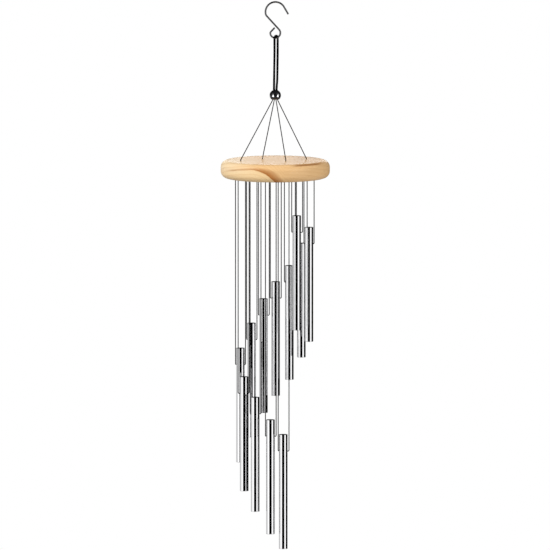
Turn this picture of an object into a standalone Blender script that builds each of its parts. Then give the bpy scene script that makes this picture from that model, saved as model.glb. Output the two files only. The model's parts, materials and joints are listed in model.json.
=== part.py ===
"""A hanging wind chime: an S-hook, a cord loop, a bead, a round wooden disc on four cords, and
twelve open tubes, each on its own string below the disc.

Metres, +Z up, +X to the viewer's right and +Y away from the viewer. The origin is the inner top of
the hook's crown, where the chime hangs.
"""

import math

import bmesh
import bpy
from mathutils import Vector

GAP = 0.0003

# S-hook, bent from round wire in the XZ plane
WIRE_RADIUS = 0.0010
CROWN_RADIUS = 0.0110
CROWN_CENTRE = (0.0002, -0.0100)
CROWN_START = math.radians(38)
CROWN_END = math.radians(199)
HOOK_TIP = (0.0143, -0.0126)
EYE_RADIUS = 0.0056
EYE_CENTRE = (0.0, -0.0331)
EYE_START = math.radians(41)
EYE_END = math.radians(-186)
EYE_TIP = (-0.0005, -0.0273)
WIRE_SIDES = 12
WIRE_STEP = 0.0013

# endless cord loop between the hook's eye and the bead
LOOP_RADIUS = 0.00095
LOOP_SHIFT = 0.0009
LOOP_HALF_WIDTH = 0.00165
LOOP_HALF_DEPTH = WIRE_RADIUS + LOOP_RADIUS + GAP + 0.0001
LOOP_IN_BEAD = 0.0014
LOOP_FOOT = 0.0012

# bead
BEAD_CENTRE = -0.1019
BEAD_RADIUS = 0.0061
BEAD_BORE = 0.00275
BEAD_MOUTH = 0.0039
BEAD_CONE_DEPTH = 0.0030

# disc, a turned board with a round edge
DISC_RADIUS = 0.0600
DISC_TOP = -0.1735
DISC_THICKNESS = 0.0195
DISC_BOTTOM = DISC_TOP - DISC_THICKNESS
DISC_EDGE = 0.0076
DISC_SEGMENTS = 72

# four cords from the bead through the disc, knotted below it
CORD_RADIUS = 0.00048
CORD_START = 0.0031
CORD_HOLE_RADIUS = 0.0011
CORD_BEND_ABOVE = 0.0012
CORD_KNOT_RADIUS = 0.0017
CORD_TAIL = 0.0010
CORD_HOLES = {
    "suspension_cord_01": (-0.0380, -0.0100),
    "suspension_cord_02": (-0.0140, 0.0120),
    "suspension_cord_03": (0.0115, -0.0120),
    "suspension_cord_04": (0.0340, 0.0100),
}

# twelve tubes in a ring, stepping down as they go round: each one's top, its place across the
# ring, and the left and right legs of its string
TUBES = (
    (-0.2318, 0.02350, 0.01805, 0.03000),
    (-0.2470, 0.03700, 0.03155, 0.04270),
    (-0.2676, 0.02870, 0.02325, 0.03510),
    (-0.2935, 0.01550, 0.01005, 0.02210),
    (-0.3117, 0.00036, -0.00545, 0.00660),
    (-0.3304, -0.01306, -0.01856, -0.00660),
    (-0.3566, -0.02610, -0.03160, -0.02015),
    (-0.3820, -0.03830, -0.04375, -0.03275),
    (-0.4109, -0.03418, -0.04080, -0.02873),
    (-0.4321, -0.02210, -0.02760, -0.01570),
    (-0.4563, -0.00530, -0.01080, 0.00095),
    (-0.4727, 0.00870, 0.00320, 0.01510),
)
BACK_TUBES = range(2, 8)
TUBE_LENGTH = 0.1264
TUBE_RADIUS = 0.00475
TUBE_BORE = 0.00395
TUBE_CHAMFER = 0.0002
TUBE_SIDES = 28
TUBE_HANG = 0.0185
SIDE_HOLE_RADIUS = 0.0013
SIDE_HOLE_DROP = 0.00055
RING_RADIUS = 0.0382
RING_CENTRE_X = -0.0008

# strings, each one cord from a blind hole in the disc, through a tube's side holes and back up
STRING_RADIUS = 0.00045
STRING_PIVOT = DISC_BOTTOM + 0.0008
STRING_ABOVE_PIVOT = 0.0012
STRING_CORNER = 0.0012
STRING_KNOT = ((-0.0017, 1.0), (-0.0011, 2.1), (0.0, 2.7), (0.0011, 2.1), (0.0017, 1.0))
STRING_HOLE_RADIUS = 0.0010
STRING_HOLE_DEPTH = 0.0080
HOLE_SIDES = 10


def clear_scene():
    for item in list(bpy.data.objects):
        bpy.data.objects.remove(item, do_unlink=True)


def make_material(name, colour, roughness, metallic):
    material = bpy.data.materials.new(name)
    material.use_nodes = True
    shader = material.node_tree.nodes["Principled BSDF"]
    shader.inputs["Base Color"].default_value = (*colour, 1.0)
    shader.inputs["Roughness"].default_value = roughness
    shader.inputs["Metallic"].default_value = metallic
    material.diffuse_color = (*colour, 1.0)
    return material


def mesh_from(name, points, faces):
    """A mesh with its faces turned outwards."""
    mesh = bpy.data.meshes.new(name)
    mesh.from_pydata([tuple(p) for p in points], [], faces)
    shape = bmesh.new()
    shape.from_mesh(mesh)
    bmesh.ops.recalc_face_normals(shape, faces=shape.faces)
    shape.to_mesh(mesh)
    shape.free()
    return mesh


def smooth_by_angle(mesh, degrees):
    """Smooth faces, with the edges sharper than this kept sharp."""
    shape = bmesh.new()
    shape.from_mesh(mesh)
    for face in shape.faces:
        face.smooth = True
    for edge in shape.edges:
        edge.smooth = edge.calc_face_angle(0.0) < math.radians(degrees)
    shape.to_mesh(mesh)
    shape.free()


def add_object(name, mesh, material, origin):
    item = bpy.data.objects.new(name, mesh)
    mesh.materials.clear()
    mesh.materials.append(material)
    item.location = origin
    bpy.context.scene.collection.objects.link(item)
    smooth_by_angle(mesh, 35)
    return item


def arc(centre, radius, start, end, steps):
    """Points on an arc in the XZ plane."""
    points = []
    for i in range(steps + 1):
        angle = start + (end - start) * i / steps
        x = centre[0] + radius * math.cos(angle)
        z = centre[1] + radius * math.sin(angle)
        points.append(Vector((x, 0.0, z)))
    return points


def resampled(points, step):
    """Points evenly spaced along a polyline, ends kept."""
    lengths = [0.0]
    for a, b in zip(points, points[1:]):
        lengths.append(lengths[-1] + (b - a).length)
    count = max(2, round(lengths[-1] / step))
    spaced = []
    at = 0
    for i in range(count + 1):
        target = lengths[-1] * i / count
        while at < len(points) - 2 and lengths[at + 1] < target:
            at += 1
        share = (target - lengths[at]) / (lengths[at + 1] - lengths[at])
        spaced.append(points[at].lerp(points[at + 1], share))
    return spaced


def relaxed(points, passes):
    """A polyline with its corners eased, ends kept."""
    for _ in range(passes):
        eased = list(points)
        for i in range(1, len(points) - 1):
            eased[i] = (points[i - 1] + 2 * points[i] + points[i + 1]) / 4
        points = eased
    return points


def rounded(corners, radius, steps):
    """A polyline with each inner corner replaced by an arc of this radius."""
    points = [corners[0]]
    for before, corner, after in zip(corners, corners[1:], corners[2:]):
        back = (before - corner).normalized()
        ahead = (after - corner).normalized()
        half = back.angle(ahead) / 2
        centre = corner + (back + ahead).normalized() * (radius / math.sin(half))
        first = corner + back * (radius / math.tan(half)) - centre
        last = corner + ahead * (radius / math.tan(half)) - centre
        for i in range(steps + 1):
            points.append(centre + first.slerp(last, i / steps).normalized() * first.length)
    points.append(corners[-1])
    return points


def tangents_of(points, closed):
    count = len(points)
    tangents = []
    for i in range(count):
        before = points[i - 1] if closed or i > 0 else points[i]
        after = points[(i + 1) % count] if closed or i < count - 1 else points[i]
        tangent = Vector((0.0, 0.0, 0.0))
        if before is not points[i]:
            tangent += (points[i] - before).normalized()
        if after is not points[i]:
            tangent += (after - points[i]).normalized()
        tangents.append(tangent.normalized())
    return tangents


def normals_along(points, tangents, closed):
    """A normal at each point, carried along without twist, and closing up on a ring."""
    normal = tangents[0].orthogonal().normalized()
    normals = [normal]
    for tangent in tangents[1:]:
        normal = (normal - tangent * normal.dot(tangent)).normalized()
        normals.append(normal)
    if not closed:
        return normals
    last = (normal - tangents[0] * normal.dot(tangents[0])).normalized()
    side = tangents[0].cross(normals[0])
    twist = math.atan2(last.dot(side), last.dot(normals[0]))
    turned = []
    for i, (tangent, normal) in enumerate(zip(tangents, normals)):
        angle = -twist * i / len(points)
        side = tangent.cross(normal)
        turned.append(normal * math.cos(angle) + side * math.sin(angle))
    return turned


def sweep(name, points, radii, sides, closed):
    """A round rod along a path, as one closed skin."""
    tangents = tangents_of(points, closed)
    normals = normals_along(points, tangents, closed)
    skin = []
    for point, tangent, normal, radius in zip(points, tangents, normals, radii):
        side = tangent.cross(normal)
        for k in range(sides):
            angle = 2 * math.pi * k / sides
            offset = normal * math.cos(angle) + side * math.sin(angle)
            skin.append(point + offset * radius)
    count = len(points)
    faces = []
    for i in range(count if closed else count - 1):
        a = i * sides
        b = (i + 1) % count * sides
        for k in range(sides):
            n = (k + 1) % sides
            faces.append((a + k, a + n, b + n, b + k))
    if not closed:
        faces.append(tuple(range(sides)))
        faces.append(tuple(range((count - 1) * sides, count * sides)))
    return mesh_from(name, skin, faces)


def lathe(name, profile, segments):
    """A closed profile of (radius, height) turned about Z, clear of the axis."""
    skin = []
    for k in range(segments):
        angle = 2 * math.pi * k / segments
        for radius, height in profile:
            skin.append((radius * math.cos(angle), radius * math.sin(angle), height))
    count = len(profile)
    faces = []
    for k in range(segments):
        a = k * count
        b = (k + 1) % segments * count
        for i in range(count):
            n = (i + 1) % count
            faces.append((a + i, a + n, b + n, b + i))
    return mesh_from(name, skin, faces)


def solid_lathe(name, profile, segments):
    """A profile of (radius, height) turned about Z, with a flat face at each end."""
    skin = []
    for radius, height in profile:
        for k in range(segments):
            angle = 2 * math.pi * k / segments
            skin.append((radius * math.cos(angle), radius * math.sin(angle), height))
    faces = [tuple(range(segments))]
    for i in range(len(profile) - 1):
        a = i * segments
        b = (i + 1) * segments
        for k in range(segments):
            n = (k + 1) % segments
            faces.append((a + k, a + n, b + n, b + k))
    last = (len(profile) - 1) * segments
    faces.append(tuple(range(last, last + segments)))
    return mesh_from(name, skin, faces)


def cylinders(name, ends, radius, sides):
    """Separate cylinders, each between two points, in one mesh."""
    points = []
    faces = []
    for start, end in ends:
        rod = sweep(name, [start, end], [radius, radius], sides, False)
        first = len(points)
        points += [v.co.copy() for v in rod.vertices]
        faces += [tuple(first + v for v in p.vertices) for p in rod.polygons]
        bpy.data.meshes.remove(rod)
    return mesh_from(name, points, faces)


def cut(name, body, tools):
    """The body's mesh with each tool's mesh taken out of it."""
    scene = bpy.context.scene
    item = bpy.data.objects.new(name, body)
    scene.collection.objects.link(item)
    helpers = []
    for tool in tools:
        helper = bpy.data.objects.new(name + "_cutter", tool)
        scene.collection.objects.link(helper)
        helpers.append(helper)
        modifier = item.modifiers.new("cut", "BOOLEAN")
        modifier.operation = "DIFFERENCE"
        modifier.solver = "EXACT"
        modifier.object = helper
    bpy.context.view_layer.update()
    graph = bpy.context.evaluated_depsgraph_get()
    result = bpy.data.meshes.new_from_object(item.evaluated_get(graph))
    for helper in helpers:
        bpy.data.objects.remove(helper, do_unlink=True)
    bpy.data.objects.remove(item, do_unlink=True)
    result.name = name
    return result


def build_hook(material):
    path = [Vector((HOOK_TIP[0], 0.0, HOOK_TIP[1]))]
    path += arc(CROWN_CENTRE, CROWN_RADIUS, CROWN_START, CROWN_END, 40)
    path += arc(EYE_CENTRE, EYE_RADIUS, EYE_START, EYE_END, 50)
    path.append(Vector((EYE_TIP[0], 0.0, EYE_TIP[1])))
    path = relaxed(resampled(path, 0.0004), 8)
    path = resampled(path, WIRE_STEP)
    radii = [WIRE_RADIUS] * len(path)
    mesh = sweep("s_hook", path, radii, WIRE_SIDES, False)
    add_object("s_hook", mesh, material, (0.0, 0.0, 0.0))


def loop_leg(side):
    """One leg of the loop, from the eye's wire down into the bead."""
    wire = EYE_CENTRE[1] - EYE_RADIUS
    clear = wire - 0.0040
    low = BEAD_CENTRE + LOOP_IN_BEAD - LOOP_FOOT
    narrow = BEAD_CENTRE + BEAD_RADIUS + 0.0020
    return [
        Vector((LOOP_SHIFT + side * LOOP_HALF_WIDTH, side * LOOP_HALF_DEPTH, wire)),
        Vector((LOOP_SHIFT + side * LOOP_HALF_WIDTH, side * LOOP_HALF_DEPTH, clear)),
        Vector((LOOP_SHIFT + side * LOOP_HALF_WIDTH, side * 0.0009, clear - 0.0120)),
        Vector((LOOP_SHIFT / 2 + side * LOOP_HALF_WIDTH, side * 0.0004, narrow + 0.0080)),
        Vector((side * LOOP_IN_BEAD, 0.0, narrow)),
        Vector((side * LOOP_IN_BEAD, 0.0, low)),
    ]


def build_loop(material):
    wire = EYE_CENTRE[1] - EYE_RADIUS
    low = BEAD_CENTRE + LOOP_IN_BEAD - LOOP_FOOT
    path = []
    for i in range(1, 16):
        angle = math.pi * i / 16
        across = math.cos(angle)
        x = LOOP_SHIFT - across * LOOP_HALF_WIDTH
        z = wire + math.sin(angle) * (WIRE_RADIUS + LOOP_RADIUS + GAP)
        path.append(Vector((x, -across * LOOP_HALF_DEPTH, z)))
    path += relaxed(resampled(loop_leg(1), 0.0016), 4)
    for i in range(1, 8):
        angle = math.pi * i / 8
        x = math.cos(angle) * LOOP_IN_BEAD
        path.append(Vector((x, 0.0, low - math.sin(angle) * LOOP_IN_BEAD)))
    path += reversed(relaxed(resampled(loop_leg(-1), 0.0016), 4))
    pivot = Vector((EYE_CENTRE[0], 0.0, EYE_CENTRE[1]))
    path = [p - pivot for p in path]
    mesh = sweep("hanging_loop", path, [LOOP_RADIUS] * len(path), 8, True)
    add_object("hanging_loop", mesh, material, pivot)


def build_bead(material):
    """A ball with a bore for the loop and a flared mouth below for the four cords."""
    top = math.acos(BEAD_BORE / BEAD_RADIUS)
    bottom = -math.acos(BEAD_MOUTH / BEAD_RADIUS)
    profile = []
    for i in range(15):
        angle = top + (bottom - top) * i / 14
        profile.append((BEAD_RADIUS * math.cos(angle), BEAD_RADIUS * math.sin(angle)))
    profile.append((BEAD_BORE, -BEAD_CONE_DEPTH))
    mesh = lathe("bead", profile, 32)
    add_object("bead", mesh, material, (0.0, 0.0, BEAD_CENTRE))


def disc_profile():
    flat = DISC_RADIUS - DISC_EDGE
    low = DISC_BOTTOM + DISC_EDGE
    high = DISC_TOP - DISC_EDGE
    profile = []
    for i in range(8):
        angle = -math.pi / 2 + math.pi / 2 * i / 7
        x = flat + DISC_EDGE * math.cos(angle)
        profile.append((x, low + DISC_EDGE * math.sin(angle)))
    for i in range(8):
        angle = math.pi / 2 * i / 7
        x = flat + DISC_EDGE * math.cos(angle)
        profile.append((x, high + DISC_EDGE * math.sin(angle)))
    return [(x, z - BEAD_CENTRE) for x, z in profile]


def tube_place(number):
    """The top, x and y of a tube's place in the ring, counted from the highest."""
    top, x, _, _ = TUBES[number]
    y = math.sqrt(RING_RADIUS**2 - (x - RING_CENTRE_X) ** 2)
    return top, x, y if number in BACK_TUBES else -y


def build_disc(material):
    body = solid_lathe("wooden_disc", disc_profile(), DISC_SEGMENTS)
    through = []
    for x, y in CORD_HOLES.values():
        top = Vector((x, y, DISC_TOP + 0.002 - BEAD_CENTRE))
        through.append((top, Vector((x, y, DISC_BOTTOM - 0.002 - BEAD_CENTRE))))
    blind = []
    for number, (_, _, left, right) in enumerate(TUBES):
        _, _, y = tube_place(number)
        for at in (left, right):
            top = Vector((at, y, DISC_BOTTOM + STRING_HOLE_DEPTH - BEAD_CENTRE))
            blind.append((top, Vector((at, y, DISC_BOTTOM - 0.002 - BEAD_CENTRE))))
    tools = [
        cylinders("cord_holes", through, CORD_HOLE_RADIUS, HOLE_SIDES),
        cylinders("string_holes", blind, STRING_HOLE_RADIUS, HOLE_SIDES),
    ]
    mesh = cut("wooden_disc", body, tools)
    add_object("wooden_disc", mesh, material, (0.0, 0.0, BEAD_CENTRE))


def build_suspension_cord(name, x, y, material):
    """A cord from inside the bead to a hole in the disc, through it, to a knot below."""
    hole_top = Vector((x, y, DISC_TOP + CORD_BEND_ABOVE - BEAD_CENTRE))
    start = hole_top * (CORD_START / -hole_top.z)
    under = DISC_BOTTOM - BEAD_CENTRE - GAP
    path = rounded([start, hole_top, Vector((x, y, under))], 0.0012, 4)
    radii = [CORD_RADIUS] * len(path)
    for i in range(1, 8):
        angle = math.pi * i / 8
        drop = CORD_KNOT_RADIUS * (1 - math.cos(angle))
        path.append(Vector((x, y, under - drop)))
        radii.append(max(CORD_RADIUS, CORD_KNOT_RADIUS * math.sin(angle)))
    path.append(Vector((x, y, under - 2 * CORD_KNOT_RADIUS - CORD_TAIL)))
    radii.append(CORD_RADIUS)
    mesh = sweep(name, path, radii, 8, False)
    add_object(name, mesh, material, (0.0, 0.0, BEAD_CENTRE))


def build_string(name, number, material):
    """A string that hangs from two holes in the disc and passes through a tube's side holes."""
    top, x, y = tube_place(number)
    _, _, left, right = TUBES[number]
    drop = STRING_PIVOT - (top - TUBE_HANG)
    corners = [
        Vector((left - x, 0.0, STRING_ABOVE_PIVOT)),
        Vector((left - x, 0.0, -drop)),
        Vector((right - x, 0.0, -drop)),
        Vector((right - x, 0.0, STRING_ABOVE_PIVOT)),
    ]
    path = rounded(corners, STRING_CORNER, 4)
    middle = len(path) // 2
    knot = [Vector((at, 0.0, -drop)) for at, _ in STRING_KNOT]
    radii = [STRING_RADIUS] * middle
    radii += [STRING_RADIUS * grow for _, grow in STRING_KNOT]
    radii += [STRING_RADIUS] * (len(path) - middle)
    path = path[:middle] + knot + path[middle:]
    mesh = sweep(name, path, radii, 8, False)
    add_object(name, mesh, material, (x, y, STRING_PIVOT))


def tube_mesh():
    """An open tube with a hole through both sides near its top, about the string's line."""
    top = TUBE_HANG
    bottom = TUBE_HANG - TUBE_LENGTH
    inset = TUBE_RADIUS - TUBE_CHAMFER
    profile = [
        (TUBE_BORE, bottom),
        (inset, bottom),
        (TUBE_RADIUS, bottom + TUBE_CHAMFER),
        (TUBE_RADIUS, top - TUBE_CHAMFER),
        (inset, top),
        (TUBE_BORE, top),
    ]
    body = lathe("tube", profile, TUBE_SIDES)
    reach = 2 * TUBE_RADIUS
    start = Vector((-reach, 0.0, -SIDE_HOLE_DROP))
    end = Vector((reach, 0.0, -SIDE_HOLE_DROP))
    hole = cylinders("side_holes", [(start, end)], SIDE_HOLE_RADIUS, 12)
    return cut("tube", body, [hole])


def build_tube(name, number, shape, material):
    top, x, y = tube_place(number)
    add_object(name, shape.copy(), material, (x, y, top - TUBE_HANG))


def build():
    clear_scene()
    steel = make_material("hook_steel", (0.25, 0.25, 0.255), 0.28, 1.0)
    loop_cord = make_material("loop_cord", (0.03, 0.03, 0.035), 0.85, 0.0)
    bead = make_material("bead", (0.02, 0.02, 0.025), 0.08, 0.0)
    wood = make_material("disc_wood", (0.78, 0.50, 0.22), 0.28, 0.0)
    cord = make_material("suspension_cord", (0.10, 0.09, 0.09), 0.80, 0.0)
    string = make_material("string", (0.09, 0.08, 0.08), 0.80, 0.0)
    metal = make_material("tube_metal", (0.86, 0.87, 0.88), 0.10, 1.0)
    build_hook(steel)
    build_loop(loop_cord)
    build_bead(bead)
    build_disc(wood)
    for name, (x, y) in CORD_HOLES.items():
        build_suspension_cord(name, x, y, cord)
    shape = tube_mesh()
    for number in range(len(TUBES)):
        build_string(f"string_{number + 1:02d}", number, string)
        build_tube(f"tube_{number + 1:02d}", number, shape, metal)
    bpy.data.meshes.remove(shape)


build()
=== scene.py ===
"""The finished look of the wind chime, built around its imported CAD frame.

Metres, +Z up, in the CAD's frame: the origin is the inner top of the hook's crown, +X is to the
viewer's right and +Y away from the viewer. Every CAD node is replaced by one finished piece: the
hook, the loop, the bead, the disc, four suspension cords, twelve strings and twelve tubes.
"""

import json
import math

import bmesh
import bpy
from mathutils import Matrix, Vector


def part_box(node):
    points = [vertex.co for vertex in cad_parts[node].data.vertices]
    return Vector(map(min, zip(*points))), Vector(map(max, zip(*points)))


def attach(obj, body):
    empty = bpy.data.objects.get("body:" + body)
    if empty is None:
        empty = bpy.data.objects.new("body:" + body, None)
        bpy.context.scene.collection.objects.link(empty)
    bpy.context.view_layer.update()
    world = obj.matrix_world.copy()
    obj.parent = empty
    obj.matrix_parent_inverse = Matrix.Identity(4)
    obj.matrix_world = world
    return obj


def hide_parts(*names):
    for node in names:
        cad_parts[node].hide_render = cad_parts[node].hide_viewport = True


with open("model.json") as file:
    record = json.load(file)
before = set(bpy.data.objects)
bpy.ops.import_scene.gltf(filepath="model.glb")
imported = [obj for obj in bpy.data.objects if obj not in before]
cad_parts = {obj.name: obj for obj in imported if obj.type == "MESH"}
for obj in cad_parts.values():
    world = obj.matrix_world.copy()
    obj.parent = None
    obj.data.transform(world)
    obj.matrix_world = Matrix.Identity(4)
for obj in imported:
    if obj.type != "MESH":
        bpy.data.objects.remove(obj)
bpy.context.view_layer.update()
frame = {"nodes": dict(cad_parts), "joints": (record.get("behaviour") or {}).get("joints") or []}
JOINTS = {joint["name"]: joint for joint in frame["joints"]}
CORDS = range(1, 5)
TUBES = range(1, 13)
MM = 0.001
TAU = 2 * math.pi

# the hook's wire, as in the CAD: an open crown above and a closed eye below
WIRE_RADIUS = 0.0010
WIRE_STEP = 0.0004
WIRE_END_SHARES = (0.62, 0.92, 1.0)
CROWN_RADIUS = 0.0110
CROWN_CENTRE = (0.0002, -0.0100)
CROWN_ARC = (math.radians(38), math.radians(199))
HOOK_TIP = (0.0143, -0.0126)
EYE_RADIUS = 0.0056
EYE_CENTRE = (0.0, -0.0331)
EYE_ARC = (math.radians(41), math.radians(-186))
EYE_TIP = (-0.0005, -0.0273)

# the loop's cord: over the eye's wire, two legs that close up, and a turn inside the bead
LOOP_RADIUS = 0.00128
LOOP_SHIFT = 0.0009
LOOP_HALF_WIDTH = 0.00174
LOOP_HALF_DEPTH = 0.00245
LOOP_OPEN_DROP = 0.0040
LOOP_CLOSING_DROP = 0.0120
LOOP_CLOSED_ABOVE = 0.0080
LOOP_CLOSING_DEPTH = 0.0009
LOOP_CLOSED_DEPTH = 0.0004
LOOP_BEAD_ENTRY = 0.0081
LOOP_IN_BEAD = 0.0014
LOOP_FOOT = 0.0012
LOOP_STEP = 0.00022
LOOP_BRAID_PITCH = 0.0026
LOOP_BRAID_DEPTH = 0.05

# the bead, drawn a little larger than its CAD solid
BEAD_GROWTH = 1.025
BEAD_BORE = 0.00275
BEAD_MOUTH = 0.0043
BEAD_MOUTH_LIP = 0.00025
BEAD_CONE_DEPTH = 0.0030
BEAD_STEPS = 48

# the disc and the holes through it and in its underside
DISC_EDGE = 0.0076
DISC_EDGE_STEPS = 16
DISC_RINGS = (0.25, 0.5, 0.75)
DRILL_PAST = 0.002
CORD_HOLE_RADIUS = 0.0011
STRING_HOLE_RADIUS = 0.0010
STRING_HOLE_DEPTH = 0.0080

# the four suspension cords, each bent at the top of its hole and knotted below the disc
CORD_RADIUS = 0.00061
CORD_BEND_ABOVE = 0.0012
CORD_BEND_RADIUS = 0.0012
CORD_STEP = 0.00018
CORD_BRAID_PITCH = 0.0014
CORD_BRAID_DEPTH = 0.10
KNOT_GAP = 0.0003
KNOT_TAIL = 0.0010
KNOT_SHARE = 0.55
KNOT_STEPS = 20

# the strings, each with a knot at the middle of its run through the tube
STRING_RADIUS = 0.00056
CAD_STRING_RADIUS = 0.00045
STRING_CORNER = 0.0012
STRING_STEP = 0.00030
STRING_LAY_PITCH = 0.0030
STRING_LAY_DEPTH = 0.12
STRING_KNOT_REACH = 0.0018
STRING_KNOT_GROWTH = 1.7

# the tubes, whose CAD nodes give their length, width and place
TUBE_BORE = 0.00395
TUBE_ROUNDING = 0.00020
TUBE_RIM_SUPPORT = 0.00030
TUBE_BORE_CHAMFER = 0.0001
SIDE_HOLE_RADIUS = 0.0013
SIDE_HOLE_DROP = 0.00055

# the pine's figure, in millimetres: x and y as in the CAD, heights from the disc's middle
DISC_FRONT = -57.0
BAND_START = -25.6
BAND_LIMITS = (-4.0, 36.0)
BAND_HEIGHT = 5.0
BAND_SLOPE = 0.08
BAND_CURVE = 0.019
BAND_WIDTHS = (1.8, 12.5)
GRAIN_LEAN = 0.16
GRAIN_WARP = 4.5
RING_WIDTH = 4.3
STREAK_HEIGHT = 8.6
SAPWOOD = (0.84, 0.61, 0.33)
HEARTWOOD = (0.78, 0.50, 0.24)
# painted light: the paler colour laid over the upper left
PAINTED_LIGHT_WOOD = (0.97, 0.85, 0.60)
LATE_WOOD = (0.58, 0.30, 0.11)
BAND_WOOD = (0.38, 0.12, 0.012)
STREAK_WOOD = (0.34, 0.14, 0.04)
FIBRE_WOOD = (0.62, 0.38, 0.18)
FLECK_WOOD = (0.50, 0.27, 0.10)

# the studio: cards are (name, first bearing, last bearing, low, high, radius, brightness)
ROOM_FLOOR = -1.1
ROOM_TOP = 1.7
CARD_RADIUS = 2.0
CARDS = (
    ("black_card_front", -32, 32, ROOM_FLOOR, ROOM_TOP, CARD_RADIUS, 0.0),
    ("softbox_left", -82, -32, ROOM_FLOOR, ROOM_TOP, CARD_RADIUS, 1.12),
    ("softbox_right", 32, 73, ROOM_FLOOR, ROOM_TOP, CARD_RADIUS, 1.10),
    ("black_card_right", 73, 180, ROOM_FLOOR, -0.02, CARD_RADIUS, 0.0),
    ("grey_card_left", -180, -82, ROOM_FLOOR, -0.3, CARD_RADIUS, 0.60),
    ("back_card", 166, 194, 0.02, 0.34, 2.2, 2.8),
)
CARD_STEPS = 16
FLOOR_RADIUS = 60
FLOOR_SIDES = 64
REFLECTED_FLOOR = -1.09
REFLECTED_GREY = 0.45
FILL_COLOUR = (1.0, 0.98, 0.95, 1.0)
FILL_STRENGTH = 0.55
DARK_ROOM = 0.03
WHITE = (1.0, 1.0, 1.0, 1.0)
BEAD_LAMP_SIZE = (1.45, 2.1)
BEAD_LAMP_AWAY = 1.95
BEAD_LAMP_DROP = 0.14
BEAD_LAMP_POWER = 330.0
LAMP_TARGET = (0.0, 0.0, -0.18)

# the camera, far off, looking down by 6 degrees at the chime's middle
SENSOR_WIDTH = 36.0
VIEW_SIZE = 0.605
CAMERA_AWAY = 20.0
CAMERA_ELEVATION = 6.0
CAMERA_AIM = (-0.0003, 0.0, -0.3005)
CAMERA_FAR_CLIP = 100.0


# ---------------------------------------------------------------- paths and skins


def arc(centre, radius, start, end, steps):
    """Points on an arc in the XZ plane."""
    points = []
    for i in range(steps + 1):
        angle = start + (end - start) * i / steps
        x = centre[0] + radius * math.cos(angle)
        z = centre[1] + radius * math.sin(angle)
        points.append(Vector((x, 0.0, z)))
    return points


def resampled(points, step):
    """Points evenly spaced along a polyline, ends kept."""
    lengths = [0.0]
    for a, b in zip(points, points[1:]):
        lengths.append(lengths[-1] + (b - a).length)
    count = max(2, round(lengths[-1] / step))
    spaced = []
    at = 0
    for i in range(count + 1):
        target = lengths[-1] * i / count
        while at < len(points) - 2 and lengths[at + 1] < target:
            at += 1
        share = (target - lengths[at]) / (lengths[at + 1] - lengths[at])
        spaced.append(points[at].lerp(points[at + 1], share))
    return spaced


def relaxed(points, passes):
    """A polyline with its corners eased, ends kept."""
    for _ in range(passes):
        eased = list(points)
        for i in range(1, len(points) - 1):
            eased[i] = (points[i - 1] + 2 * points[i] + points[i + 1]) / 4
        points = eased
    return points


def rounded(corners, radius, steps):
    """A polyline with each inner corner replaced by an arc of this radius."""
    points = [corners[0]]
    for before, corner, after in zip(corners, corners[1:], corners[2:]):
        back = (before - corner).normalized()
        ahead = (after - corner).normalized()
        half = back.angle(ahead) / 2
        centre = corner + (back + ahead).normalized() * (radius / math.sin(half))
        first = corner + back * (radius / math.tan(half)) - centre
        last = corner + ahead * (radius / math.tan(half)) - centre
        for i in range(steps + 1):
            points.append(centre + first.slerp(last, i / steps).normalized() * radius)
    points.append(corners[-1])
    return points


def frames_along(points, closed):
    """(tangent, normal, side) at each point, carried along without twist."""
    count = len(points)
    tangents = []
    for i in range(count):
        before = points[i - 1] if closed or i > 0 else points[i]
        after = points[(i + 1) % count] if closed or i < count - 1 else points[i]
        tangents.append((after - before).normalized())
    normal = tangents[0].orthogonal().normalized()
    normals = []
    for tangent in tangents:
        normal = (normal - tangent * normal.dot(tangent)).normalized()
        normals.append(normal)
    if closed:
        last = (normal - tangents[0] * normal.dot(tangents[0])).normalized()
        side = tangents[0].cross(normals[0])
        twist = math.atan2(last.dot(side), last.dot(normals[0]))
    else:
        twist = 0.0
    found = []
    for i, (tangent, normal) in enumerate(zip(tangents, normals)):
        angle = -twist * i / count
        side = tangent.cross(normal)
        turned = normal * math.cos(angle) + side * math.sin(angle)
        found.append((tangent, turned, tangent.cross(turned)))
    return found


def new_mesh(name, points, faces):
    """A mesh with its faces turned outwards and shaded smooth."""
    mesh = bpy.data.meshes.new(name)
    mesh.from_pydata([tuple(p) for p in points], [], faces)
    shape = bmesh.new()
    shape.from_mesh(mesh)
    bmesh.ops.recalc_face_normals(shape, faces=shape.faces)
    for face in shape.faces:
        face.smooth = True
    shape.to_mesh(mesh)
    shape.free()
    return mesh


def keep_sharp(mesh, degrees):
    """Marks the edges sharper than this, so that smooth shading breaks there."""
    shape = bmesh.new()
    shape.from_mesh(mesh)
    for face in shape.faces:
        face.smooth = True
    for edge in shape.edges:
        edge.smooth = edge.calc_face_angle(0.0) < math.radians(degrees)
    shape.to_mesh(mesh)
    shape.free()


def sweep(name, points, radius_at, sides, closed=False):
    """A skin round a path. radius_at(distance, angle, number) gives its radius."""
    skin = []
    distance = 0.0
    for i, (tangent, normal, side) in enumerate(frames_along(points, closed)):
        if i:
            distance += (points[i] - points[i - 1]).length
        for k in range(sides):
            angle = TAU * k / sides
            offset = normal * math.cos(angle) + side * math.sin(angle)
            skin.append(points[i] + offset * radius_at(distance, angle, i))
    count = len(points)
    faces = []
    for i in range(count if closed else count - 1):
        a = i * sides
        b = (i + 1) % count * sides
        for k in range(sides):
            n = (k + 1) % sides
            faces.append((a + k, a + n, b + n, b + k))
    if not closed:
        faces.append(tuple(range(sides)))
        faces.append(tuple(range((count - 1) * sides, count * sides)))
    return new_mesh(name, skin, faces)


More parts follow.
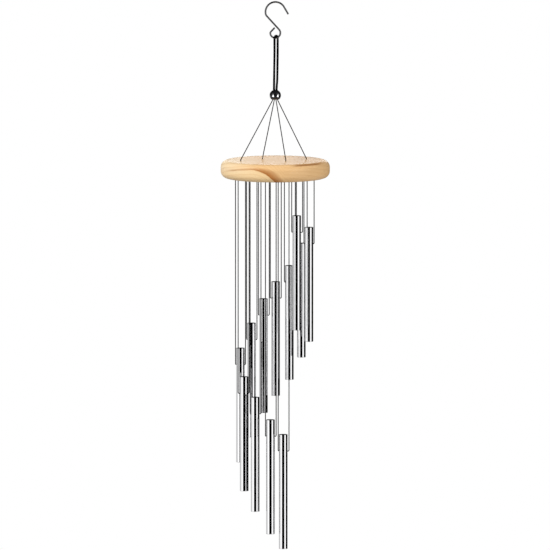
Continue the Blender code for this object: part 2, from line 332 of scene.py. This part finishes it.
def lathe(name, profile, segments, centre, closed=True):
    """A profile of (radius, height) turned about the upright axis through centre."""
    skin = []
    for k in range(segments):
        angle = TAU * k / segments
        for radius, height in profile:
            offset = Vector((radius * math.cos(angle), radius * math.sin(angle), height))
            skin.append(centre + offset)
    count = len(profile)
    faces = []
    for k in range(segments):
        a = k * count
        b = (k + 1) % segments * count
        for i in range(count if closed else count - 1):
            n = (i + 1) % count
            faces.append((a + i, a + n, b + n, b + i))
    if not closed:
        faces.append(tuple(k * count for k in range(segments)))
        faces.append(tuple(k * count + count - 1 for k in range(segments)))
    return new_mesh(name, skin, faces)


def rods(name, ends, radius, sides):
    """Separate straight rods, each between two points, in one mesh."""
    points = []
    faces = []
    for start, end in ends:
        rod = sweep(name, [start, end], lambda *_: radius, sides)
        first = len(points)
        points += [v.co.copy() for v in rod.vertices]
        faces += [tuple(first + v for v in p.vertices) for p in rod.polygons]
        bpy.data.meshes.remove(rod)
    return new_mesh(name, points, faces)


def cut(name, body, tools):
    """The body's mesh with each tool's mesh taken out."""
    scene = bpy.context.scene
    item = bpy.data.objects.new(name, body)
    scene.collection.objects.link(item)
    helpers = []
    for tool in tools:
        helper = bpy.data.objects.new(name + "_cutter", tool)
        scene.collection.objects.link(helper)
        helpers.append(helper)
        modifier = item.modifiers.new("cut", "BOOLEAN")
        modifier.operation = "DIFFERENCE"
        modifier.solver = "EXACT"
        modifier.object = helper
    bpy.context.view_layer.update()
    graph = bpy.context.evaluated_depsgraph_get()
    result = bpy.data.meshes.new_from_object(item.evaluated_get(graph))
    for helper in helpers:
        bpy.data.objects.remove(helper, do_unlink=True)
    bpy.data.objects.remove(item, do_unlink=True)
    result.name = name
    return result


def add_piece(name, mesh, material, body, node):
    """A finished piece that rides on a body and stands for its CAD node."""
    item = bpy.data.objects.new(name, mesh)
    mesh.materials.clear()
    mesh.materials.append(material)
    bpy.context.scene.collection.objects.link(item)
    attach(item, body)
    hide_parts(node)
    return item


# ---------------------------------------------------------------- materials


class Shader:
    """A Principled material and short ways to add nodes to it."""

    def __init__(self, name, roughness, metallic=0.0):
        self.material = bpy.data.materials.new(name)
        self.material.use_nodes = True
        self.nodes = self.material.node_tree.nodes
        self.links = self.material.node_tree.links
        self.bsdf = self.nodes["Principled BSDF"]
        self.set("Roughness", roughness)
        self.set("Metallic", metallic)
        coordinates = self.nodes.new("ShaderNodeTexCoord")
        self.place = coordinates.outputs["Object"]

    def set(self, socket, value):
        """Sets a socket to a number or colour, or links it to another node's output."""
        self.feed(self.bsdf.inputs[socket], value)

    def feed(self, socket, value):
        """Gives any node's socket a value, or links it to another node's output."""
        if isinstance(value, bpy.types.NodeSocket):
            self.links.new(value, socket)
        else:
            socket.default_value = value

    def math(self, operation, *values, clamp=False):
        """The result of a sum on numbers or sockets."""
        node = self.nodes.new("ShaderNodeMath")
        node.operation = operation
        node.use_clamp = clamp
        for socket, value in zip(node.inputs, values):
            self.feed(socket, value)
        return node.outputs[0]

    def scaled(self, factors):
        """The place on the piece, multiplied by three factors."""
        node = self.nodes.new("ShaderNodeVectorMath")
        node.operation = "MULTIPLY"
        self.feed(node.inputs[0], self.place)
        node.inputs[1].default_value = factors
        return node.outputs[0]

    def axes(self, vector):
        """A vector's x, y and z."""
        node = self.nodes.new("ShaderNodeSeparateXYZ")
        self.feed(node.inputs[0], vector)
        return node.outputs[0], node.outputs[1], node.outputs[2]

    def noise(self, vector, scale, detail=3.0, roughness=0.5):
        """Noise about 0.5 at this place."""
        node = self.nodes.new("ShaderNodeTexNoise")
        self.feed(node.inputs["Vector"], vector)
        node.inputs["Scale"].default_value = scale
        node.inputs["Detail"].default_value = detail
        node.inputs["Roughness"].default_value = roughness
        return node.outputs["Fac"]

    def between(self, value, low, high, new_low=0.0, new_high=1.0, smooth=True):
        """The value remapped from one range to another, and held inside it."""
        node = self.nodes.new("ShaderNodeMapRange")
        node.interpolation_type = "SMOOTHSTEP" if smooth else "LINEAR"
        self.feed(node.inputs["Value"], value)
        node.inputs["From Min"].default_value = low
        node.inputs["From Max"].default_value = high
        node.inputs["To Min"].default_value = new_low
        node.inputs["To Max"].default_value = new_high
        return node.outputs["Result"]

    def mix(self, share, first, second):
        """The first colour turning into the second as the share goes from 0 to 1."""
        node = self.nodes.new("ShaderNodeMix")
        node.data_type = "RGBA"
        self.feed(node.inputs["Factor"], share)
        for socket, colour in (("A", first), ("B", second)):
            if isinstance(colour, tuple):
                colour = (*colour, 1.0)
            self.feed(node.inputs[socket], colour)
        return node.outputs["Result"]

    def bump(self, height, distance):
        """Fine relief from a height of 0 to 1, this deep."""
        node = self.nodes.new("ShaderNodeBump")
        node.inputs["Distance"].default_value = distance
        node.inputs["Strength"].default_value = 1.0
        self.feed(node.inputs["Height"], height)
        self.set("Normal", node.outputs["Normal"])


def dark_steel():
    """Darkened drawn wire with a little handling haze."""
    shader = Shader("dark_steel", 0.2, 1.0)
    haze = shader.noise(shader.scaled((1, 1, 1)), 420, 4)
    drawn = shader.noise(shader.scaled((1, 1, 0.2)), 2600, 2)
    shader.set("Base Color", shader.mix(haze, (0.20, 0.20, 0.205), (0.30, 0.30, 0.305)))
    shader.set("Roughness", shader.between(haze, 0.3, 0.7, 0.22, 0.34))
    shader.bump(drawn, 0.00002)
    return shader.material


def painted_shade_metal():
    """The tube's inside and cut ends: dull, streaked along its length, and near black as painted
    shade for the shaded bore and the dark rim lines.
    """
    shader = Shader("bore_in_painted_shade", 0.55, 1.0)
    streak = shader.noise(shader.scaled((1, 1, 0.03)), 1800, 3)
    # near black: painted shade, not the metal's own colour
    shader.set("Base Color", shader.mix(streak, (0.015, 0.015, 0.016), (0.05, 0.05, 0.052)))
    shader.set("Roughness", shader.between(streak, 0.3, 0.7, 0.50, 0.70))
    shader.bump(streak, 0.00003)
    return shader.material


def tube_metal():
    """Polished tube with faint drawing lines along it and a few soft smudges."""
    shader = Shader("polished_tube", 0.06, 1.0)
    smudge = shader.noise(shader.scaled((1, 1, 0.35)), 90, 4, 0.6)
    drawn = shader.noise(shader.scaled((1, 1, 0.012)), 3800, 2)
    shader.set("Base Color", shader.mix(smudge, (0.88, 0.88, 0.89), (0.95, 0.95, 0.96)))
    shader.set("Roughness", shader.between(smudge, 0.35, 0.75, 0.035, 0.10))
    shader.bump(drawn, 0.000004)
    return shader.material


def cord_fibre(name, dark, light, scale):
    """Matt braided fibre: dark, with paler fuzz on the strands."""
    shader = Shader(name, 0.85)
    fuzz = shader.noise(shader.scaled((1, 1, 1)), scale, 4, 0.7)
    shader.set("Base Color", shader.mix(shader.between(fuzz, 0.35, 0.75), dark, light))
    shader.set("Roughness", shader.between(fuzz, 0.3, 0.7, 0.75, 0.95))
    shader.set("Specular IOR Level", 0.05)
    shader.bump(fuzz, 0.00008)
    return shader.material


def black_gloss():
    """Deep black gloss with the faintest orange peel."""
    shader = Shader("black_gloss", 0.05)
    peel = shader.noise(shader.scaled((1, 1, 1)), 320, 2)
    shader.set("Base Color", shader.mix(peel, (0.0005, 0.0005, 0.0006), (0.002, 0.002, 0.0022)))
    shader.set("Roughness", shader.between(peel, 0.3, 0.7, 0.04, 0.08))
    shader.bump(peel, 0.000004)
    return shader.material


def pine_sheets(shader, x, y, height):
    """(distance along the band, height above its lower edge) for each place in the board.

    The band's lower edge falls towards the right, ever more steeply, and towards the back.
    """
    warp = shader.noise(shader.scaled((12, 22, 70)), 1.0, 3, 0.55)
    warp = shader.math("MULTIPLY", shader.math("SUBTRACT", warp, 0.5), GRAIN_WARP)
    run = shader.math("ADD", x, -BAND_START)
    first, last = BAND_LIMITS
    run = shader.math("MINIMUM", shader.math("MAXIMUM", run, first), last)
    fall = shader.math("ADD", shader.math("MULTIPLY", run, BAND_CURVE), BAND_SLOPE)
    line = shader.math("SUBTRACT", BAND_HEIGHT, shader.math("MULTIPLY", run, fall))
    depth = shader.math("ADD", y, -DISC_FRONT)
    above = shader.math("SUBTRACT", height, line)
    above = shader.math("ADD", above, shader.math("MULTIPLY", depth, GRAIN_LEAN))
    return run, shader.math("ADD", above, warp)


def pine_ground(shader, x, height, above):
    """Sapwood below the band and heartwood above, with painted light making the upper left
    paler, and yearly rings.
    """
    tone = shader.mix(shader.between(above, -1.2, 2.0), SAPWOOD, HEARTWOOD)
    # painted light: the wood paler towards the upper left, where the key light falls on it
    painted_light = shader.between(x, -58.0, -18.0, 0.6, 0.0, smooth=False)
    painted_light = shader.math("MULTIPLY", painted_light, shader.between(height, -5.0, 4.0))
    tone = shader.mix(painted_light, tone, PAINTED_LIGHT_WOOD)

    # each ring darkens slowly and then ends sharply
    ring = shader.math("FRACT", shader.math("DIVIDE", above, RING_WIDTH))
    late = shader.math("POWER", ring, 3.5)
    return shader.mix(shader.math("MULTIPLY", late, 0.34), tone, LATE_WOOD)


def pine_band(shader, y, run, above):
    """How much of the dark band shows: narrow at the left and broad at the lower right."""
    width = shader.between(run, 0.0, 32.0, *BAND_WIDTHS)
    upper = shader.math("DIVIDE", above, width)
    fade = shader.math("SUBTRACT", 1.0, upper, clamp=True)
    fade = shader.math("POWER", fade, 0.6)
    edge = shader.between(above, -0.7, 0.1)
    front = shader.between(y, -20.0, -42.0)
    reach = shader.between(run, -26.0, 12.0, 0.15, 1.0)
    band = shader.math("MULTIPLY", shader.math("MULTIPLY", fade, edge), front)
    return shader.math("MULTIPLY", band, reach)


def pine_streak(shader, x, height):
    """How much of the second band shows, a thin one along the right of the top edge."""
    off = shader.math("ABSOLUTE", shader.math("SUBTRACT", height, STREAK_HEIGHT))
    thin = shader.between(off, 0.3, 1.5, 1.0, 0.0)
    starts = shader.between(x, 14.0, 28.0)
    ends = shader.between(x, 56.0, 44.0)
    there = shader.math("MULTIPLY", starts, ends)
    return shader.math("MULTIPLY", shader.math("MULTIPLY", thin, there), 0.9)


def lacquered_pine(middle):
    """Honey pine under a thin lacquer, with a sweeping dark band across its front."""
    shader = Shader("lacquered_pine", 0.35)
    x, y, z = shader.axes(shader.scaled((1 / MM, 1 / MM, 1 / MM)))
    height = shader.math("SUBTRACT", z, middle / MM)
    run, above = pine_sheets(shader, x, y, height)
    tone = pine_ground(shader, x, height, above)
    tone = shader.mix(pine_band(shader, y, run, above), tone, BAND_WOOD)
    tone = shader.mix(pine_streak(shader, x, height), tone, STREAK_WOOD)
    fibre = shader.noise(shader.scaled((60, 900, 1700)), 1.0, 4, 0.6)
    fleck = shader.noise(shader.scaled((260, 2100, 2100)), 1.0, 2)
    tone = shader.mix(shader.between(fibre, 0.35, 0.75, 0.0, 0.16), tone, FIBRE_WOOD)
    tone = shader.mix(shader.between(fleck, 0.62, 0.74, 0.0, 0.22), tone, FLECK_WOOD)
    shader.set("Base Color", tone)
    shader.set("Roughness", shader.between(fibre, 0.3, 0.7, 0.34, 0.48))
    shader.set("Coat Weight", 0.12)
    shader.set("Coat Roughness", 0.12)
    shader.set("Coat IOR", 1.5)
    shader.set("Specular IOR Level", 0.2)
    shader.bump(fibre, 0.00002)
    return shader.material


# ---------------------------------------------------------------- pieces


def braided(radius, strands, pitch, depth):
    """The radius of a braid whose two sets of strands cross."""

    def radius_at(distance, angle, _):
        lean = TAU * distance / pitch
        one = math.cos(strands * angle - lean)
        two = math.cos(strands * angle + lean)
        return radius * (1 - depth + depth * one * two)

    return radius_at


def twisted(radius, strands, pitch, depth, swell):
    """The radius of strands laid round each other, swollen where a knot is."""

    def radius_at(distance, angle, number):
        lobe = abs(math.cos(strands * (angle - TAU * distance / pitch) / 2))
        return radius * swell[number] * (1 - depth + depth * lobe)

    return radius_at


def build_hook(material):
    """The bent wire, its cut ends slightly eased."""
    path = [Vector((HOOK_TIP[0], 0.0, HOOK_TIP[1]))]
    path += arc(CROWN_CENTRE, CROWN_RADIUS, *CROWN_ARC, 40)
    path += arc(EYE_CENTRE, EYE_RADIUS, *EYE_ARC, 50)
    path.append(Vector((EYE_TIP[0], 0.0, EYE_TIP[1])))
    path = resampled(relaxed(resampled(path, WIRE_STEP), 8), WIRE_STEP)
    last = len(path) - 1

    def radius_at(_, __, number):
        from_end = min(number, last - number)
        return WIRE_RADIUS * WIRE_END_SHARES[min(from_end, len(WIRE_END_SHARES) - 1)]

    mesh = sweep("hook_wire", path, radius_at, 24)
    keep_sharp(mesh, 50)
    add_piece("hook_wire", mesh, material, "hook", "s_hook")


def loop_leg(side, bead):
    """One leg of the loop, from the eye's wire down into the bead."""
    wire = EYE_CENTRE[1] - EYE_RADIUS
    opened = wire - LOOP_OPEN_DROP
    closing = opened - LOOP_CLOSING_DROP
    entry = bead.z + LOOP_BEAD_ENTRY
    closed = entry + LOOP_CLOSED_ABOVE
    low = bead.z + LOOP_IN_BEAD - LOOP_FOOT
    beside = side * LOOP_HALF_WIDTH
    points = [
        Vector((LOOP_SHIFT + beside, side * LOOP_HALF_DEPTH, wire)),
        Vector((LOOP_SHIFT + beside, side * LOOP_HALF_DEPTH, opened)),
        Vector((LOOP_SHIFT + beside, side * LOOP_CLOSING_DEPTH, closing)),
        Vector((LOOP_SHIFT / 2 + beside, side * LOOP_CLOSED_DEPTH, closed)),
        Vector((side * LOOP_IN_BEAD, 0.0, entry)),
        Vector((side * LOOP_IN_BEAD, 0.0, low)),
    ]
    return relaxed(resampled(points, 0.0016), 4)


def loop_over_wire():
    """The turn over the eye's wire, from the left leg to the right one."""
    wire = EYE_CENTRE[1] - EYE_RADIUS
    points = []
    for i in range(1, 24):
        angle = math.pi * i / 24
        across = math.cos(angle)
        x = LOOP_SHIFT - across * LOOP_HALF_WIDTH
        z = wire + math.sin(angle) * LOOP_HALF_DEPTH
        points.append(Vector((x, -across * LOOP_HALF_DEPTH, z)))
    return points


def loop_in_bead(bead):
    """The turn inside the bead, from the right leg to the left one."""
    low = bead.z + LOOP_IN_BEAD - LOOP_FOOT
    points = []
    for i in range(1, 12):
        angle = math.pi * i / 12
        x = math.cos(angle) * LOOP_IN_BEAD
        points.append(Vector((x, 0.0, low - math.sin(angle) * LOOP_IN_BEAD)))
    return points


def build_loop(material, bead):
    """The closed loop of braid, swept from over the eye's wire down one leg, round inside the
    bead and up the other.
    """
    path = loop_over_wire()
    path += loop_leg(1, bead)
    path += loop_in_bead(bead)
    path += reversed(loop_leg(-1, bead))
    path = resampled(path + [path[0]], LOOP_STEP)[:-1]
    braid = braided(LOOP_RADIUS, 4, LOOP_BRAID_PITCH, LOOP_BRAID_DEPTH)
    mesh = sweep("loop_cord", path, braid, 16, closed=True)
    item = add_piece("loop_cord", mesh, material, "loop", "hanging_loop")


def build_bead(material, bead, radius):
    """A ball with a bore for the loop and a flared mouth below for the four cords."""
    top = math.acos(BEAD_BORE / radius)
    bottom = -math.acos(BEAD_MOUTH / radius)
    profile = []
    for i in range(BEAD_STEPS + 1):
        angle = top + (bottom - top) * i / BEAD_STEPS
        profile.append((radius * math.cos(angle), radius * math.sin(angle)))
    profile.append((BEAD_MOUTH - BEAD_MOUTH_LIP, profile[-1][1] + 0.00005))
    profile.append((BEAD_BORE, -BEAD_CONE_DEPTH))
    profile.append((BEAD_BORE, profile[0][1] - 0.0002))
    mesh = lathe("black_bead", profile, 96, bead)
    keep_sharp(mesh, 40)
    return add_piece("black_bead", mesh, material, "bead", "bead")


def cord_hole(number):
    """Where a suspension cord passes through the disc, from its CAD node's lower end."""
    node = frame["nodes"][f"suspension_cord_{number:02d}"]
    low = min(v.co.z for v in node.data.vertices)
    ends = [v.co for v in node.data.vertices if v.co.z < low + 0.0001]
    middle = sum(ends, Vector()) / len(ends)
    return middle.x, middle.y, low


def string_place(number):
    """(pivot of the string, level of the tube's side holes)."""
    swing = Vector(JOINTS[f"string_swing_{number:02d}"]["pos_m"])
    tilt = Vector(JOINTS[f"tube_tilt_{number:02d}"]["pos_m"])
    return swing, tilt.z


def build_disc(material, low, high):
    """The turned board: flat top and underside, a round edge, and its drilled holes."""
    radius = (high.x - low.x) / 2
    centre = Vector((0.0, 0.0, (low.z + high.z) / 2))
    half = (high.z - low.z) / 2
    flat = radius - DISC_EDGE
    profile = [(flat * share, -half) for share in DISC_RINGS]
    for i in range(DISC_EDGE_STEPS + 1):
        angle = -math.pi / 2 + math.pi / 2 * i / DISC_EDGE_STEPS
        x = flat + DISC_EDGE * math.cos(angle)
        profile.append((x, DISC_EDGE - half + DISC_EDGE * math.sin(angle)))
    for i in range(DISC_EDGE_STEPS + 1):
        angle = math.pi / 2 * i / DISC_EDGE_STEPS
        x = flat + DISC_EDGE * math.cos(angle)
        profile.append((x, half - DISC_EDGE + DISC_EDGE * math.sin(angle)))
    profile += [(flat * share, half) for share in reversed(DISC_RINGS)]
    body = lathe("pine_disc", profile, 192, centre, closed=False)
    through = []
    for number in CORDS:
        x, y, _ = cord_hole(number)
        top = Vector((x, y, high.z + DRILL_PAST))
        through.append((top, Vector((x, y, low.z - DRILL_PAST))))
    blind = []
    for number in TUBES:
        pivot, _ = string_place(number)
        left, right = string_sides(number)
        for at in (left, right):
            top = Vector((at, pivot.y, low.z + STRING_HOLE_DEPTH))
            blind.append((top, Vector((at, pivot.y, low.z - DRILL_PAST))))
    tools = [
        rods("cord_holes", through, CORD_HOLE_RADIUS, 24),
        rods("string_holes", blind, STRING_HOLE_RADIUS, 20),
    ]
    mesh = cut("pine_disc", body, tools)
    keep_sharp(mesh, 40)
    add_piece("pine_disc", mesh, material, "disc", "wooden_disc")


def build_suspension_cord(number, material, bead, disc_top, disc_bottom):
    """A cord from inside the bead to a hole in the disc, through it, to a knot below."""
    node = f"suspension_cord_{number:02d}"
    name = f"cord_{number:02d}"
    x, y, low = cord_hole(number)
    _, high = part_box(node)
    bend = Vector((x, y, disc_top + CORD_BEND_ABOVE))
    way = (bead - bend).normalized()
    start = bend + way * ((high.z - bend.z) / way.z)
    under = disc_bottom - KNOT_GAP
    path = rounded([start, bend, Vector((x, y, under))], CORD_BEND_RADIUS, 8)
    path = resampled(path, CORD_STEP)
    swell = [1.0] * len(path)
    knot = (under - low - KNOT_TAIL) / 2 * KNOT_SHARE
    for i in range(1, KNOT_STEPS):
        angle = math.pi * i / KNOT_STEPS
        path.append(Vector((x, y, under - knot * (1 - math.cos(angle)))))
        swell.append(max(1.0, knot * math.sin(angle) / CORD_RADIUS))
    for i in range(1, 4):
        path.append(Vector((x, y, under - 2 * knot - 0.0001 * i)))
        swell.append(1.0)
    braid = braided(CORD_RADIUS, 4, CORD_BRAID_PITCH, CORD_BRAID_DEPTH)

    def radius_at(distance, angle, at):
        return braid(distance, angle, at) * swell[at]

    mesh = sweep(name, path, radius_at, 12)
    keep_sharp(mesh, 75)
    item = add_piece(name, mesh, material, "disc", node)


def string_sides(number):
    """The string's left and right upright lines."""
    low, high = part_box(f"string_{number:02d}")
    return low.x + CAD_STRING_RADIUS, high.x - CAD_STRING_RADIUS


def build_string(number, material):
    """A string from two holes in the disc down to a tube's side holes, knotted inside it."""
    node = f"string_{number:02d}"
    pivot, level = string_place(number)
    left, right = string_sides(number)
    _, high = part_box(node)
    corners = [
        Vector((left, pivot.y, high.z)),
        Vector((left, pivot.y, level)),
        Vector((right, pivot.y, level)),
        Vector((right, pivot.y, high.z)),
    ]
    path = resampled(rounded(corners, STRING_CORNER, 10), STRING_STEP)
    swell = []
    for point in path:
        off = abs(point.x - pivot.x) if abs(point.z - level) < 0.0001 else 1.0
        knot = max(0.0, 1 - (off / STRING_KNOT_REACH) ** 2)
        swell.append(1.0 + STRING_KNOT_GROWTH * knot)
    lay = twisted(STRING_RADIUS, 3, STRING_LAY_PITCH, STRING_LAY_DEPTH, swell)
    mesh = sweep(node + "_cord", path, lay, 12)
    keep_sharp(mesh, 80)
    item = add_piece(node + "_cord", mesh, material, node, node)


def tube_profile(radius, low, high):
    """The tube's wall: the outside with its eased rims, and the bore."""
    profile = []
    for end, sign in ((low, 1), (high, -1)):
        rim = []
        for i in range(5):
            angle = math.pi / 2 * i / 4
            x = radius - TUBE_ROUNDING * (1 - math.sin(angle))
            rim.append((x, end + sign * TUBE_ROUNDING * (1 - math.cos(angle))))
        rim.append((radius, end + sign * TUBE_RIM_SUPPORT))
        profile += rim if sign > 0 else rim[::-1]
    profile.append((TUBE_BORE + TUBE_BORE_CHAMFER, high))
    profile.append((TUBE_BORE, high - TUBE_BORE_CHAMFER))
    profile.append((TUBE_BORE, low + TUBE_BORE_CHAMFER))
    profile.append((TUBE_BORE + TUBE_BORE_CHAMFER, low))
    return profile


def paint_shade_inside(mesh, inside, centre, low, high):
    """Gives the bore and the cut ends their own dull, near-black material: painted shade for the
    bore and the dark rim lines.
    """
    mesh.materials.append(inside)
    for face in mesh.polygons:
        out = face.center - centre
        in_bore = math.hypot(out.x, out.y) < TUBE_BORE + 0.00008
        from_end = min(high - out.z, out.z - low)
        if in_bore or from_end < TUBE_ROUNDING * 0.9:
            face.material_index = 1


def build_tube(number, material, inside):
    """An open tube with eased rims and a side hole at each end of its string's line."""
    node = f"tube_{number:02d}"
    low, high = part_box(node)
    pivot, level = string_place(number)
    centre = Vector((pivot.x, pivot.y, 0.0))
    radius = (high.x - low.x) / 2
    body = lathe(node, tube_profile(radius, low.z, high.z), 96, centre)
    reach = Vector((2 * radius, 0.0, 0.0))
    hole = Vector((pivot.x, pivot.y, level - SIDE_HOLE_DROP))
    tool = rods("side_holes", [(hole - reach, hole + reach)], SIDE_HOLE_RADIUS, 32)
    mesh = cut(node + "_polished", body, [tool])
    keep_sharp(mesh, 30)
    add_piece(node + "_polished", mesh, material, node, node)
    paint_shade_inside(mesh, inside, centre, low.z, high.z)


# ---------------------------------------------------------------- studio


def stage_material(name, grey, one_sided=False):
    """A plain studio surface that gives off this grey, clear from behind if one-sided."""
    material = bpy.data.materials.new(name)
    material.use_nodes = True
    nodes = material.node_tree.nodes
    links = material.node_tree.links
    nodes.remove(nodes["Principled BSDF"])
    glow = nodes.new("ShaderNodeEmission")
    glow.inputs["Color"].default_value = WHITE
    glow.inputs["Strength"].default_value = grey
    out = glow.outputs[0]
    if one_sided:
        geometry = nodes.new("ShaderNodeNewGeometry")
        clear = nodes.new("ShaderNodeBsdfTransparent")
        choose = nodes.new("ShaderNodeMixShader")
        links.new(geometry.outputs["Backfacing"], choose.inputs[0])
        links.new(glow.outputs[0], choose.inputs[1])
        links.new(clear.outputs[0], choose.inputs[2])
        out = choose.outputs[0]
    links.new(out, nodes["Material Output"].inputs["Surface"])
    return material


def add_stage(name, points, faces, material):
    """A studio surface that neither lights matt surfaces nor casts a shadow."""
    mesh = bpy.data.meshes.new(name)
    mesh.from_pydata(points, [], faces)
    mesh.materials.append(material)
    item = bpy.data.objects.new(name, mesh)
    item.visible_diffuse = False
    item.visible_shadow = False
    bpy.context.scene.collection.objects.link(item)
    return item


def build_floor(name, level, grey):
    """A wide round floor below the chime, clear from underneath."""
    points = []
    for k in range(FLOOR_SIDES):
        angle = TAU * k / FLOOR_SIDES
        points.append((FLOOR_RADIUS * math.cos(angle), FLOOR_RADIUS * math.sin(angle), level))
    material = stage_material(name, grey, one_sided=True)
    return add_stage(name, points, [tuple(range(FLOOR_SIDES))], material)


def build_card(name, start, end, low, high, radius, grey):
    """A curved studio card round the chime, from one bearing to another.

    Bearings are in degrees from the front, positive to the right. The cards show in
    reflections only.
    """
    points = []
    for i in range(CARD_STEPS + 1):
        bearing = math.radians(start + (end - start) * i / CARD_STEPS)
        x = radius * math.sin(bearing)
        y = -radius * math.cos(bearing)
        points += [(x, y, low), (x, y, high)]
    faces = [(2 * i, 2 * i + 2, 2 * i + 3, 2 * i + 1) for i in range(CARD_STEPS)]
    item = add_stage(name, points, faces, stage_material(name, grey))
    item.visible_camera = False


def build_world():
    """White behind the chime, a soft fill light, and a dim room in its reflections."""
    world = bpy.data.worlds.new("studio")
    world.use_nodes = True
    nodes = world.node_tree.nodes
    links = world.node_tree.links
    path = nodes.new("ShaderNodeLightPath")
    last = nodes["Background"]
    last.inputs["Color"].default_value = FILL_COLOUR
    last.inputs["Strength"].default_value = FILL_STRENGTH
    for ray, grey in (("Is Glossy Ray", DARK_ROOM), ("Is Camera Ray", 1.0)):
        room = nodes.new("ShaderNodeBackground")
        room.inputs["Color"].default_value = WHITE
        room.inputs["Strength"].default_value = grey
        choose = nodes.new("ShaderNodeMixShader")
        links.new(path.outputs[ray], choose.inputs[0])
        links.new(last.outputs[0], choose.inputs[1])
        links.new(room.outputs[0], choose.inputs[2])
        last = choose
    links.new(last.outputs[0], nodes["World Output"].inputs["Surface"])
    bpy.context.scene.world = world


def aim(item, target):
    """Turns a lamp or camera to face a place."""
    way = target - item.location
    item.rotation_euler = way.to_track_quat("-Z", "Y").to_euler()


def build_bead_light(name, bearing, bead, item):
    """A tall soft lamp at the side of the camera that lights the bead alone."""
    lamp = bpy.data.lights.new(name, "AREA")
    lamp.shape = "RECTANGLE"
    lamp.size, lamp.size_y = BEAD_LAMP_SIZE
    lamp.energy = BEAD_LAMP_POWER
    light = bpy.data.objects.new(name, lamp)
    turn = math.radians(bearing)
    x = BEAD_LAMP_AWAY * math.sin(turn)
    y = -BEAD_LAMP_AWAY * math.cos(turn)
    light.location = bead + Vector((x, y, -BEAD_LAMP_DROP))
    aim(light, bead)
    light.visible_camera = False
    lit = bpy.data.collections.new(name + "_lit")
    lit.objects.link(item)
    light.light_linking.receiver_collection = lit
    bpy.context.scene.collection.objects.link(light)


def build_light(name, place, size, power):
    """A soft lamp that shows on matt surfaces only."""
    lamp = bpy.data.lights.new(name, "AREA")
    lamp.shape = "DISK"
    lamp.size = size
    lamp.energy = power
    item = bpy.data.objects.new(name, lamp)
    item.location = place
    aim(item, Vector(LAMP_TARGET))
    item.visible_glossy = False
    item.visible_camera = False
    bpy.context.scene.collection.objects.link(item)


def build_camera():
    """A long lens, a little above the chime, at the front."""
    lens = bpy.data.cameras.new("camera")
    lens.sensor_width = SENSOR_WIDTH
    lens.lens = SENSOR_WIDTH * CAMERA_AWAY / VIEW_SIZE
    lens.clip_end = CAMERA_FAR_CLIP
    camera = bpy.data.objects.new("camera", lens)
    tilt = math.radians(CAMERA_ELEVATION)
    back = Vector((0.0, -math.cos(tilt), math.sin(tilt)))
    camera.location = Vector(CAMERA_AIM) + back * CAMERA_AWAY
    camera.rotation_euler = (-back).to_track_quat("-Z", "Y").to_euler()
    bpy.context.scene.collection.objects.link(camera)
    bpy.context.scene.camera = camera


def build_studio():
    """The background, the floor, the cards, the lamps and the camera.

    The floor that the camera sees is white, and a grey one just above it shows in reflections.
    """
    build_world()
    build_floor("pale_floor", ROOM_FLOOR, 1.0).visible_glossy = False
    build_floor("floor_in_reflections", REFLECTED_FLOOR, REFLECTED_GREY).visible_camera = False
    for card in CARDS:
        build_card(*card)
    build_light("key_light", (-1.15, -0.80, 0.85), 0.7, 20.5)
    build_light("fill_light", (1.0, -1.1, 0.1), 0.9, 8.0)
    build_camera()
    bpy.context.scene.view_settings.view_transform = "Standard"


def build_chime():
    """Every piece of the chime, from the hook down, and the bead's own lamps."""
    bead_low, bead_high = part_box("bead")
    bead_radius = (bead_high.x - bead_low.x) / 2 * BEAD_GROWTH
    bead = Vector(JOINTS["disc_tilt"]["pos_m"])
    disc_low, disc_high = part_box("wooden_disc")
    build_hook(dark_steel())
    braid = cord_fibre("black_braid", (0.0015, 0.0015, 0.0018), (0.006, 0.006, 0.0066), 2400)
    build_loop(braid, bead)
    ball = build_bead(black_gloss(), bead, bead_radius)
    build_bead_light("bead_light_left", -45, bead, ball)
    build_bead_light("bead_light_right", 55, bead, ball)
    build_disc(lacquered_pine((disc_low.z + disc_high.z) / 2), disc_low, disc_high)
    cord = cord_fibre("grey_braid", (0.004, 0.004, 0.004), (0.020, 0.019, 0.019), 3600)
    for number in CORDS:
        build_suspension_cord(number, cord, bead, disc_high.z, disc_low.z)
    string = cord_fibre("grey_string", (0.003, 0.003, 0.0035), (0.014, 0.014, 0.015), 3600)
    metal = tube_metal()
    inside = painted_shade_metal()
    for number in TUBES:
        build_string(number, string)
        build_tube(number, metal, inside)


build_chime()
build_studio()
